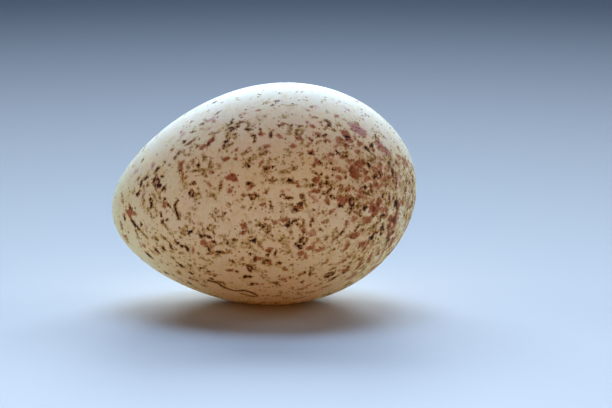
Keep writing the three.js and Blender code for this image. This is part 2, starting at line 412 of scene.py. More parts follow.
# Each mark is how far down the shell and how far round it lies, its length and width in mm, the
# angle that its length makes with the line down the shell, and the strength of its pigment.
DARK_MARKS = [
    (2.15, 2, 0.25, 0.18, 90, 0.8), (2.75, 15, 0.2, 0.15, 80, 0.8), (2.85, -3, 0.5, 0.2, -50, 1),
    (2.95, -5.5, 0.25, 0.2, -50, 1), (3.15, -8, 0.2, 0.17, -50, 0.9), (3.45, -4, 0.2, 0.15, 90, 0.9),
    (3.45, 27, 0.25, 0.22, 0, 1), (3.6, 29, 0.2, 0.12, 50, 0.9), (3.65, -40, 0.5, 0.2, -30, 1),
    (3.8, 36.5, 0.4, 0.17, 60, 0.9), (4, 62, 0.2, 0.15, 30, 0.5), (4.2, 39, 0.28, 0.2, 0, 1),
    (4.25, -28, 0.3, 0.18, -35, 0.9), (4.3, 18.5, 0.2, 0.2, 0, 1), (4.35, 14, 0.35, 0.22, 60, 1),
    (4.6, -57, 0.3, 0.2, -20, 0.9), (4.7, 29, 0.5, 0.1, -70, 1), (4.75, -23.5, 0.3, 0.18, -50, 1),
    (4.75, 34.5, 0.3, 0.1, 50, 0.9), (4.9, 5, 0.25, 0.14, 90, 1), (4.92, -0.5, 0.25, 0.15, 50, 0.9),
    (4.97, 32, 0.25, 0.1, -85, 0.9), (5, 27.5, 0.3, 0.25, 90, 1), (5, 41.5, 0.27, 0.18, 15, 1),
    (5.1, -4, 0.35, 0.1, -50, 0.8), (5.24, 1, 0.15, 0.15, 0, 1), (5.25, -20, 0.3, 0.14, -68, 0.9),
    (5.25, 16.3, 0.16, 0.16, 0, 1), (5.25, 24, 0.35, 0.15, 35, 0.9), (5.25, 33.5, 0.2, 0.14, -20, 1),
    (5.3, -22, 0.2, 0.1, 0, 0.9), (5.35, 22.5, 0.15, 0.1, 70, 0.9), (5.45, 11.5, 0.3, 0.12, -50, 1),
    (5.58, -15.5, 0.2, 0.13, -50, 1), (5.65, -36, 0.45, 0.17, -30, 0.85),
    (5.68, -16.5, 0.25, 0.14, 20, 1), (5.93, -18, 0.18, 0.15, -30, 1), (5.95, -57, 0.25, 0.2, -30, 0.9),
    (6.08, 4.5, 0.2, 0.12, 80, 0.9), (6.15, 44, 0.2, 0.15, 60, 0.85), (6.18, -41.5, 0.25, 0.2, -30, 0.75),
    (6.2, -19.5, 0.35, 0.22, -50, 1), (6.35, 33, 0.2, 0.13, 0, 1), (6.37, 46, 0.22, 0.15, 60, 0.85),
    (6.52, -7.5, 0.35, 0.2, 15, 1), (6.75, 53, 0.25, 0.2, 0, 0.7), (6.87, -33.7, 0.18, 0.15, 0, 0.85),
    (6.98, 22.3, 0.12, 0.1, 0, 0.9), (7.05, 50, 0.4, 0.15, 10, 0.8), (7.1, 22.5, 0.2, 0.17, 0, 1),
    (7.14, -10, 0.28, 0.2, -40, 1), (7.24, -35.5, 0.17, 0.13, 0, 0.9), (7.25, 69, 0.18, 0.14, 90, 0.6),
    (7.3, 58, 0.18, 0.15, 0, 0.8), (7.32, -16.7, 0.25, 0.12, 0, 0.6), (7.33, -42, 0.22, 0.15, -30, 1),
    (7.35, -9.6, 0.2, 0.12, -10, 1), (7.36, 29.7, 0.42, 0.1, -5, 1), (7.38, -21.5, 0.14, 0.12, 0, 1),
    (7.45, 32.7, 0.2, 0.18, 60, 1), (7.48, -18.5, 0.28, 0.16, -50, 1), (7.5, 45.7, 0.2, 0.15, -50, 1),
    (7.55, -10.3, 0.3, 0.15, -20, 1), (7.58, -5.5, 0.18, 0.13, -45, 1), (7.84, -13.6, 0.22, 0.15, -40, 1),
    (7.85, -7.5, 0.2, 0.1, -70, 1), (7.87, 61.5, 0.25, 0.2, 0, 0.4), (7.9, -21.8, 0.25, 0.15, -30, 0.9),
    (8.07, -19.7, 0.45, 0.15, -10, 0.9), (8.1, 43.5, 0.25, 0.12, 60, 0.9), (8.4, 47, 0.15, 0.13, 0, 1),
    (8.55, -14, 0.2, 0.18, 0, 0.6), (8.55, 2.8, 0.15, 0.15, 0, 0.85), (8.6, -25.5, 0.15, 0.12, 0, 0.9),
    (8.7, -26.5, 0.2, 0.13, -80, 1), (8.75, 66, 0.3, 0.1, 25, 0.8), (8.8, -32.3, 0.18, 0.14, -20, 0.95),
    (8.95, -12.3, 0.2, 0.15, 0, 0.8), (8.95, 40, 0.3, 0.12, 75, 1), (9.1, 42.5, 0.35, 0.16, 40, 1),
    (9.2, -36.2, 0.28, 0.2, 30, 1), (9.25, -27.3, 0.22, 0.1, -15, 1), (9.25, 22.5, 0.1, 0.1, 0, 0.8),
    (9.38, -28.3, 0.15, 0.1, -50, 1), (9.4, 50.5, 0.4, 0.14, 0, 0.7), (9.42, -36, 0.25, 0.2, 0, 0.95),
    (9.45, -8.5, 0.12, 0.12, 0, 0.9), (9.45, 49, 0.4, 0.16, 10, 0.8), (9.45, 54, 0.2, 0.12, 60, 0.9),
    (9.47, -42.5, 0.28, 0.17, 25, 1), (9.5, 56, 0.2, 0.12, 50, 0.8), (9.58, 45.5, 0.2, 0.15, 0, 0.9),
    (9.65, -20.8, 0.17, 0.13, -20, 1), (9.75, 50, 0.2, 0.12, 0, 1), (9.75, 52, 0.15, 0.12, 0, 0.9),
    (9.8, -13, 0.2, 0.15, 0, 0.9), (9.83, -23.8, 0.28, 0.12, 85, 1), (9.92, 52.5, 0.25, 0.12, 20, 1),
    (9.93, -13.2, 0.25, 0.25, 0, 1), (9.97, 4.5, 0.1, 0.1, 0, 0.9), (9.98, 11.2, 0.15, 0.1, 0, 0.9),
    (10.02, 16.8, 0.22, 0.2, -30, 1), (10.08, 9.3, 0.25, 0.13, -55, 1), (10.15, -15.3, 0.12, 0.12, 0, 1),
    (10.15, 25.8, 0.17, 0.15, 90, 0.9), (10.2, 28.8, 0.12, 0.1, 0, 0.9),
    (10.25, 46.8, 0.25, 0.2, -40, 0.95), (10.27, -26.5, 0.2, 0.13, -10, 0.95),
    (10.28, -17.2, 0.1, 0.1, 0, 0.8), (10.3, 11.5, 0.1, 0.1, 0, 0.9), (10.32, -5, 0.25, 0.13, 0, 0.85),
    (10.33, 51, 0.2, 0.1, -80, 0.9), (10.38, 10.2, 0.2, 0.15, -20, 1), (10.45, -25, 0.2, 0.15, 0, 0.85),
    (10.45, 46.5, 0.15, 0.1, 0, 0.9), (10.48, -6.3, 0.2, 0.17, -60, 1), (10.5, 42.8, 0.25, 0.12, -20, 1),
    (10.55, -21.2, 0.3, 0.12, 70, 0.9), (10.55, 39, 0.12, 0.12, 0, 0.9), (10.6, 41, 0.25, 0.12, -80, 0.9),
    (10.62, -4.8, 0.12, 0.13, 0, 1), (10.65, -2, 0.12, 0.12, 0, 1), (10.68, -9.3, 0.2, 0.13, 0, 1),
    (10.7, -6.8, 0.2, 0.08, 85, 0.9), (10.73, -41.5, 0.3, 0.13, 5, 1),
    (10.88, -11.3, 0.15, 0.1, -80, 0.9), (10.92, -21, 0.25, 0.13, 60, 0.95),
    (10.92, 45.5, 0.15, 0.15, 0, 0.95), (10.98, 23.3, 0.2, 0.15, 0, 1), (11.02, 4, 0.3, 0.1, -85, 0.85),
    (11.05, -27.3, 0.28, 0.15, 10, 0.85), (11.2, 63.5, 0.1, 0.1, 0, 0.8), (11.33, 23.7, 0.15, 0.13, 0, 1),
    (11.4, 40, 0.15, 0.13, 0, 0.9), (11.42, 41.5, 0.27, 0.14, 80, 0.95),
    (11.48, -38.5, 0.15, 0.13, 60, 0.95), (11.65, 61.5, 0.15, 0.12, 0, 0.5),
    (11.68, 9.3, 0.17, 0.12, 0, 0.8), (11.75, -6.8, 0.35, 0.18, -15, 0.9),
    (11.82, -4.5, 0.12, 0.12, 0, 0.9), (11.85, -10.8, 0.15, 0.1, -85, 1),
    (11.85, -5.8, 0.3, 0.12, 10, 0.9), (11.9, 46.5, 0.18, 0.18, 0, 0.95), (11.9, 65, 0.27, 0.12, 5, 0.8),
    (11.95, 7, 0.35, 0.13, -10, 1), (12.03, -17.2, 0.17, 0.15, 80, 1), (12.05, -4.8, 0.25, 0.12, 30, 1),
    (12.07, -43.5, 0.18, 0.13, 0, 0.9), (12.12, 16, 0.22, 0.17, 0, 0.95),
    (12.15, -18.7, 0.35, 0.2, -25, 1), (12.15, -4.3, 0.12, 0.1, 0, 0.9),
    (12.22, -20.2, 0.2, 0.12, 0, 0.9), (12.25, -36.3, 0.2, 0.12, 85, 0.8),
    (12.25, -6.8, 0.3, 0.1, -25, 1), (12.25, 1, 0.25, 0.12, -30, 0.95), (12.27, -16, 0.22, 0.2, 90, 0.9),
    (12.27, 14.7, 0.4, 0.12, -5, 0.95), (12.33, -4.2, 0.17, 0.1, 0, 0.95),
    (12.35, 0.3, 0.3, 0.1, 15, 0.95), (12.42, -14.2, 0.2, 0.1, -25, 0.95), (12.43, -18, 0.2, 0.15, 0, 1),
    (12.5, -11.3, 0.15, 0.15, 0, 1), (12.5, 46, 0.15, 0.12, 0, 0.9), (12.53, -37.5, 0.28, 0.12, 85, 1),
    (12.55, -6.6, 0.12, 0.12, 0, 1), (12.55, 2, 0.2, 0.1, 60, 0.95), (12.55, 4, 0.35, 0.12, 20, 0.9),
    (12.6, -16.3, 0.2, 0.15, 60, 0.9), (12.7, 40.3, 0.2, 0.1, 80, 0.95),
    (12.87, -8.3, 0.15, 0.12, 0, 0.9), (12.95, 15.2, 0.17, 0.1, 0, 0.85),
    (12.95, 45.3, 0.2, 0.1, 0, 0.95), (13.02, -5.8, 0.18, 0.13, 80, 1), (13.3, 12, 0.15, 0.12, 0, 0.9),
    (13.35, -11.7, 0.13, 0.13, 0, 1), (13.35, 29.2, 0.2, 0.12, 0, 1), (13.4, -44.5, 0.25, 0.15, 20, 1),
    (13.47, 28.5, 0.12, 0.1, 0, 0.9), (13.5, 18, 0.35, 0.1, -45, 0.95), (13.5, 36.5, 0.12, 0.12, 0, 0.8),
    (13.57, -18.2, 0.12, 0.08, 0, 0.95), (13.72, 12.5, 0.3, 0.12, 85, 0.95),
    (13.75, -48, 0.55, 0.13, 30, 0.95), (13.75, 51.8, 0.2, 0.08, 0, 0.9),
    (13.78, 7.3, 0.17, 0.13, 0, 0.9), (13.78, 17.3, 0.12, 0.12, 0, 0.9),
    (13.79, -39.3, 0.17, 0.13, 10, 0.85), (13.8, 23.7, 0.2, 0.15, 80, 0.9),
    (13.85, 39.3, 0.15, 0.1, 0, 1), (13.93, -25.8, 0.15, 0.1, 85, 0.95), (14, 12.8, 0.25, 0.15, 85, 0.9),
    (14.05, 15.3, 0.2, 0.12, 85, 0.9), (14.05, 39.3, 0.3, 0.07, 0, 0.9),
    (14.1, 8.5, 0.35, 0.15, 45, 0.95), (14.13, 5.5, 0.22, 0.13, 0, 1), (14.18, 36.5, 0.2, 0.14, 85, 1),
    (14.22, 40, 0.17, 0.15, 0, 0.95), (14.3, -47, 0.12, 0.12, 0, 0.9), (14.35, 3.5, 0.13, 0.12, 0, 0.85),
    (14.35, 23, 0.15, 0.15, 0, 0.95), (14.37, 16.5, 0.12, 0.08, 0, 0.8), (14.4, 50.5, 0.15, 0.1, 0, 0.9),
    (14.42, 19.5, 0.17, 0.13, 0, 1), (14.47, -16.8, 0.3, 0.15, 35, 0.9),
    (14.5, 46.8, 0.25, 0.15, 0, 0.95), (14.5, 48.5, 0.25, 0.12, -50, 0.95),
    (14.52, -43, 0.15, 0.15, 0, 0.9), (14.6, -1.3, 0.27, 0.15, 10, 1), (14.68, 10.2, 0.2, 0.06, 0, 0.8),
    (14.7, -40.3, 0.13, 0.13, 0, 0.9), (14.72, 44, 0.15, 0.15, 0, 0.95),
    (14.77, 29.7, 0.28, 0.12, -55, 0.95), (14.9, 47.7, 0.13, 0.12, 0, 0.8),
    (15.05, -6.3, 0.25, 0.1, 15, 0.9), (15.05, 14.7, 0.14, 0.13, 0, 1), (15.13, -4, 0.3, 0.12, 0, 1),
    (15.22, 27.5, 0.15, 0.12, 0, 0.9), (15.33, -17.5, 0.4, 0.11, 45, 0.85),
    (15.35, 54, 0.1, 0.08, 0, 0.6), (15.38, 39, 0.17, 0.15, 0, 1), (15.4, 40.5, 0.25, 0.2, 0, 1),
    (15.45, 7.5, 0.22, 0.1, -45, 0.9), (15.65, -9.9, 0.15, 0.12, 0, 1), (15.7, -20, 0.13, 0.12, 0, 0.9),
    (15.95, -6, 0.3, 0.22, 60, 0.95), (15.95, 4.7, 0.18, 0.1, 0, 0.9), (16.12, 7.5, 0.24, 0.2, 0, 1),
    (16.15, -29, 0.28, 0.25, 0, 1), (16.4, -31, 0.1, 0.1, 0, 0.9), (16.4, -14, 0.15, 0.12, 0, 0.8),
    (16.45, -27, 0.3, 0.1, 0, 0.8), (16.45, 4.5, 0.16, 0.12, 0, 0.9), (16.5, 7.5, 0.15, 0.12, 90, 0.95),
    (16.5, 22.3, 0.3, 0.17, 90, 1), (16.5, 34, 0.38, 0.17, -50, 1), (16.75, -31, 0.22, 0.18, 60, 0.8),
    (16.75, 26.5, 0.1, 0.1, 0, 0.5), (16.82, -18.5, 0.2, 0.1, 90, 1), (16.85, 13.7, 0.3, 0.13, -5, 1),
    (16.85, 37.8, 0.3, 0.25, 60, 0.8), (16.9, -26, 0.25, 0.2, 20, 0.85),
    (16.95, -16.3, 0.27, 0.17, -10, 1), (16.95, 34, 0.12, 0.12, 0, 0.8), (17, -47, 0.2, 0.12, 60, 0.85),
    (17.1, -43, 0.3, 0.14, 60, 0.85), (17.15, 15.7, 0.24, 0.13, 90, 1), (17.2, -44, 0.2, 0.15, 0, 0.7),
    (17.2, -1, 0.3, 0.12, 90, 0.85), (17.2, 47, 0.3, 0.09, 85, 0.8), (17.32, 16, 0.17, 0.09, 90, 0.7),
    (17.6, -40, 0.22, 0.18, 0, 0.8), (17.65, -3.5, 0.3, 0.13, 90, 0.8), (17.93, 25.5, 0.2, 0.2, 0, 0.85),
    (18.1, -13, 0.4, 0.28, 80, 0.75), (18.1, 18.5, 0.3, 0.12, 90, 0.8),
    (18.15, -18.5, 0.15, 0.14, 0, 0.85), (18.3, 6, 0.2, 0.1, 90, 0.85), (19.3, 6, 0.2, 0.1, 90, 0.8),
    (19.3, 25, 0.15, 0.13, 0, 0.6), (19.9, -15, 0.2, 0.1, 0, 0.6), (20.2, 5, 0.3, 0.2, 60, 0.5),
]
RUST_MARKS = [
    (1.95, -37, 0.5, 0.5, 0, 0.5), (2.15, 7, 0.3, 0.2, 0, 0.6), (2.15, 28, 0.3, 0.2, 80, 0.6),
    (2.7, 19, 0.25, 0.15, 80, 0.5), (2.75, 9, 0.65, 0.45, 0, 0.95), (3.4, -29, 0.25, 0.25, -45, 0.8),
    (3.8, -8, 0.35, 0.15, -85, 0.35), (3.95, -32, 0.3, 0.2, -20, 0.6), (4.35, -30, 0.25, 0.2, -60, 0.7),
    (5.2, 12, 0.3, 0.28, 80, 0.9), (6.15, -48, 0.25, 0.2, -50, 0.9), (6.4, -48.5, 0.35, 0.15, -5, 0.7),
    (6.45, 36.5, 0.5, 0.38, 70, 0.7), (6.5, 30.5, 0.25, 0.15, -70, 0.5),
    (6.55, -20.3, 0.35, 0.14, 85, 0.9), (6.65, 27.5, 0.3, 0.2, 0, 0.4), (6.7, 45.5, 0.3, 0.12, 75, 0.6),
    (6.8, -1.5, 0.18, 0.1, -50, 0.9), (7.15, 35, 0.2, 0.12, 60, 0.7), (7.23, -14.2, 0.45, 0.33, 0, 0.8),
    (7.3, -38, 0.2, 0.12, 10, 0.7), (7.5, -38.5, 0.2, 0.2, 0, 0.8), (7.6, -21, 0.18, 0.15, 0, 0.8),
    (7.63, -16.3, 0.25, 0.2, -40, 0.8), (7.7, -13.3, 0.25, 0.15, 0, 0.7), (7.8, 43.5, 0.4, 0.28, 10, 1),
    (7.85, 25, 0.13, 0.13, 0, 0.8), (7.95, 19.5, 0.35, 0.15, -60, 0.8), (8.15, 26.5, 0.25, 0.2, -30, 0.8),
    (8.25, 45.5, 0.4, 0.25, 20, 1), (8.46, -32.3, 0.3, 0.17, 15, 0.95), (8.55, 59, 0.2, 0.2, 0, 0.4),
    (8.57, -19.3, 0.17, 0.17, 0, 1), (8.6, 29.5, 0.2, 0.15, 60, 0.6), (8.65, 50, 0.15, 0.15, 0, 0.7),
    (8.7, 38, 0.15, 0.15, 0, 1), (8.95, 32, 0.3, 0.27, 20, 0.95), (9, -26, 0.15, 0.12, 0, 0.4),
    (9, 14.5, 0.3, 0.2, 70, 0.9), (9.17, 16, 0.12, 0.12, 0, 1), (9.2, 21.3, 0.6, 0.4, -20, 0.95),
    (9.35, -8.5, 0.3, 0.15, 10, 0.9), (9.5, -4.5, 0.35, 0.28, -25, 0.95), (9.5, 31.2, 0.2, 0.18, 0, 1),
    (9.55, -6.7, 0.2, 0.12, 0, 0.5), (9.55, 36, 0.15, 0.12, 50, 0.95), (9.73, -42, 0.2, 0.18, 0, 0.95),
    (9.98, -23.7, 0.35, 0.27, 0, 0.95), (10, -42, 0.17, 0.13, 0, 0.7), (10.15, 15.2, 0.4, 0.2, 35, 0.95),
    (10.2, 10.8, 0.3, 0.2, 0, 0.9), (10.28, 35.5, 0.13, 0.12, 0, 0.85), (10.55, -26.5, 0.3, 0.25, -20, 1),
    (10.62, 5.5, 0.25, 0.17, 0, 1), (10.65, -18.8, 0.33, 0.25, 10, 1),
    (10.82, 11.2, 0.22, 0.13, 15, 0.85), (10.85, 27, 0.2, 0.17, 60, 0.8),
    (10.9, -23.2, 0.17, 0.15, 0, 0.6), (10.92, 42.7, 0.3, 0.25, 0, 0.9), (10.92, 59, 0.25, 0.15, 0, 0.7),
    (11.08, 23.2, 0.45, 0.15, 8, 1), (11.12, -39, 0.27, 0.15, 0, 1), (11.13, -4.2, 0.28, 0.2, 0, 0.8),
    (11.15, 35, 0.35, 0.18, -10, 0.95), (11.22, -40.8, 0.15, 0.12, 0, 0.6),
    (11.35, -32.2, 0.25, 0.15, -40, 0.9), (11.4, -3.5, 0.1, 0.1, 0, 0.6),
    (11.65, -3.6, 0.35, 0.2, -10, 1), (11.68, 11, 0.2, 0.17, 0, 0.5), (11.8, -61, 0.5, 0.15, 10, 0.8),
    (11.8, -55, 0.3, 0.15, 0, 0.6), (11.85, -50, 0.35, 0.15, 15, 0.6), (11.85, 40, 0.4, 0.18, -35, 0.8),
    (11.87, -40, 0.2, 0.1, 0, 0.4), (12, 11.3, 0.12, 0.12, 0, 0.6), (12.08, -37, 0.3, 0.15, 10, 0.95),
    (12.1, 47.2, 0.3, 0.17, 10, 0.9), (12.2, -23.3, 0.4, 0.3, 30, 0.9), (12.3, -48, 0.4, 0.12, 25, 0.75),
    (12.38, 1.8, 0.4, 0.25, 35, 0.8), (12.43, -25.5, 0.28, 0.2, 90, 0.95),
    (12.45, -55.7, 0.4, 0.13, -5, 0.85), (12.48, 33.7, 0.28, 0.25, 0, 0.9),
    (12.5, -10.3, 0.25, 0.25, 0, 0.7), (12.5, 13.3, 0.3, 0.12, -50, 0.9),
    (12.65, -38.8, 0.25, 0.12, 15, 0.9), (12.72, -21.3, 0.5, 0.22, -5, 1),
    (12.78, 28.5, 0.12, 0.12, 0, 0.7), (12.85, -14.2, 0.2, 0.13, 0, 0.8),
    (12.85, 37.8, 0.28, 0.25, -80, 0.95), (12.9, -19, 0.2, 0.2, 0, 0.7), (12.9, 24, 0.12, 0.12, 0, 0.7),
    (12.95, -12.6, 0.4, 0.35, 0, 0.55), (13.1, -1, 0.17, 0.15, 0, 0.45),
    (13.13, -18.2, 0.22, 0.14, 15, 0.85), (13.2, -23.5, 0.5, 0.25, 0, 0.95), (13.2, 6, 0.3, 0.15, 0, 0.6),
    (13.25, -54.5, 0.45, 0.15, 5, 0.75), (13.3, -33, 0.2, 0.12, 10, 0.6), (13.3, 3.8, 0.3, 0.25, 0, 0.4),
    (13.35, 9, 0.45, 0.22, 5, 0.85), (13.35, 29.8, 0.3, 0.2, 0, 0.9), (13.37, 35, 0.25, 0.15, 0, 0.5),
    (13.38, -3, 0.14, 0.14, 0, 0.9), (13.4, 37.5, 0.17, 0.15, -30, 0.95), (13.45, 57, 0.2, 0.15, 0, 0.6),
    (13.48, 14.5, 0.4, 0.3, 0, 0.95), (13.5, -32.3, 0.17, 0.12, 80, 0.7),
    (13.58, -8.2, 0.2, 0.12, 0, 0.85), (13.58, 24, 0.4, 0.3, 70, 0.9), (13.6, 45.5, 0.35, 0.2, -20, 0.7),
    (13.65, 11.5, 0.3, 0.2, -85, 0.8), (13.8, 40.7, 0.35, 0.15, -15, 0.95),
    (13.9, 3, 0.45, 0.22, -85, 0.85), (14.05, 48.5, 0.2, 0.13, 0, 0.8), (14.07, -3.2, 0.4, 0.15, 25, 0.9),
    (14.08, -36.5, 0.3, 0.15, 10, 0.4), (14.35, -36.3, 0.33, 0.15, 12, 0.95),
    (14.35, 36.5, 0.28, 0.15, -40, 0.85), (14.4, 28.2, 0.4, 0.15, 8, 0.95),
    (14.42, -45.5, 0.5, 0.35, 35, 0.9), (14.5, -28.5, 0.35, 0.15, 50, 0.9),
    (14.5, 4.5, 0.15, 0.12, 0, 0.7), (14.67, 8.7, 0.15, 0.12, 0, 0.7), (14.67, 33, 0.13, 0.12, 0, 0.6),
    (14.68, -26.5, 0.28, 0.28, 0, 0.85), (14.68, 19.8, 0.35, 0.25, 0, 0.6),
    (14.7, 14.8, 0.35, 0.25, -20, 0.85), (14.72, 1.5, 0.7, 0.4, 15, 0.9),
    (14.73, -14.3, 0.15, 0.1, 0, 0.7), (14.8, -12, 0.25, 0.25, 0, 0.85),
    (14.88, 17.8, 0.15, 0.15, 0, 0.6), (14.9, 54.3, 0.15, 0.15, 0, 0.7), (14.95, 37.5, 0.4, 0.35, 0, 0.6),
    (14.98, 55.5, 0.2, 0.2, 0, 0.8), (15, -21, 0.25, 0.25, 0, 0.9), (15, 2.8, 0.4, 0.15, 20, 0.8),
    (15, 27, 0.25, 0.22, 0, 0.9), (15, 37, 0.5, 0.45, 90, 0.5), (15.08, 7.5, 0.3, 0.28, 0, 0.9),
    (15.2, -47.5, 0.6, 0.27, 40, 0.95), (15.2, -10, 0.2, 0.2, 0, 0.7), (15.2, 20.3, 0.15, 0.12, 0, 0.6),
    (15.25, -41, 0.2, 0.12, 0, 0.5), (15.25, -21.7, 0.6, 0.22, 0, 0.95),
    (15.25, -10.8, 0.3, 0.25, 30, 0.75), (15.3, 34.5, 0.3, 0.25, 0, 0.9),
    (15.35, 42.5, 0.6, 0.4, -30, 0.9), (15.4, 24, 0.4, 0.3, 90, 0.5), (15.5, -30, 0.45, 0.35, 45, 0.95),
    (15.5, 18.5, 0.5, 0.5, 0, 0.95), (15.5, 38, 0.5, 0.3, 0, 0.8), (15.5, 41, 0.3, 0.2, 0, 0.95),
    (15.6, -34.5, 0.38, 0.2, 50, 0.9), (15.6, 17, 0.65, 0.55, 10, 1), (15.7, 4.8, 0.22, 0.15, 50, 0.95),
    (15.7, 34.5, 0.2, 0.15, 0, 0.7), (15.75, 2.5, 0.3, 0.2, 85, 0.85), (15.75, 47, 0.2, 0.15, 0, 0.7),
    (15.85, 6.5, 0.3, 0.22, 60, 0.85), (15.87, -46, 0.65, 0.22, 55, 0.95),
    (15.87, -31.5, 0.3, 0.2, 60, 0.95), (15.87, 41, 0.3, 0.2, 80, 0.7), (15.9, 31, 0.35, 0.25, 0, 0.65),
    (15.95, 22.5, 0.6, 0.4, -10, 1), (16, -25, 0.17, 0.13, 0, 0.8), (16, -14.5, 0.65, 0.38, 20, 0.7),
    (16.1, -34.5, 0.35, 0.2, 50, 0.7), (16.1, -16, 0.2, 0.15, 0, 0.85), (16.1, 37, 0.4, 0.28, 0, 0.85),
    (16.15, 24, 0.35, 0.15, -45, 0.95), (16.25, -27, 0.25, 0.12, 60, 0.8),
    (16.25, 17.5, 0.35, 0.3, 0, 0.75), (16.3, 12.5, 0.5, 0.25, 0, 0.7),
    (16.38, -6.5, 0.65, 0.3, 80, 0.95), (16.4, -58, 0.6, 0.14, 50, 0.7),
    (16.42, -48, 0.4, 0.22, 50, 0.95), (16.45, -43, 0.4, 0.25, 50, 0.5), (16.5, -12, 0.35, 0.2, 0, 0.95),
    (16.5, -9.5, 0.5, 0.4, 0, 1), (16.6, -20, 0.17, 0.12, 0, 0.8), (16.75, -52, 0.35, 0.2, 55, 0.8),
    (16.75, -10, 0.4, 0.3, 30, 0.9), (16.75, 20, 0.45, 0.15, -10, 0.85),
    (16.8, 11.8, 0.17, 0.12, 90, 0.9), (16.85, -5.3, 0.5, 0.45, 60, 0.95), (16.9, 6, 0.35, 0.2, 85, 0.85),
    (17, -53, 0.25, 0.15, 60, 0.7), (17.15, -18.5, 0.25, 0.2, 0, 0.7), (17.2, 7, 0.3, 0.2, 0, 0.5),
    (17.2, 12.5, 0.35, 0.25, 70, 0.5), (17.25, 18.3, 0.3, 0.2, 90, 0.75),
    (17.25, 21.5, 0.35, 0.3, 60, 0.7), (17.3, -38, 0.5, 0.4, 60, 0.7), (17.35, -30, 0.5, 0.28, 75, 0.85),
    (17.35, -15, 0.4, 0.2, 80, 0.85), (17.35, 27.5, 0.25, 0.2, 0, 0.5), (17.35, 38, 0.3, 0.2, 60, 0.7),
    (17.35, 43.5, 0.25, 0.15, 60, 0.6), (17.45, 11.5, 0.35, 0.25, 80, 0.75),
    (17.5, -48, 0.3, 0.18, 60, 0.6), (17.55, -24, 0.45, 0.35, 60, 0.85), (17.55, 6.5, 0.3, 0.12, 0, 0.75),
    (17.75, -33, 0.5, 0.3, 70, 0.9), (17.75, 12, 0.4, 0.2, 85, 0.9), (17.8, -27, 0.5, 0.4, 50, 0.7),
    (17.95, -6, 0.3, 0.2, 60, 0.6), (18.25, 2.5, 0.28, 0.22, 60, 0.65), (18.3, 24, 0.2, 0.15, 0, 0.5),
    (18.35, 10, 0.4, 0.28, 80, 0.6), (18.6, 4, 0.3, 0.15, 70, 0.5), (18.7, -17, 0.35, 0.2, 70, 0.55),
    (18.75, 26, 0.4, 0.28, 0, 0.4), (18.8, 12.5, 0.17, 0.12, 80, 0.7), (19, -25, 0.4, 0.2, 70, 0.5),
    (19.05, -8, 0.5, 0.12, 85, 0.7),
]
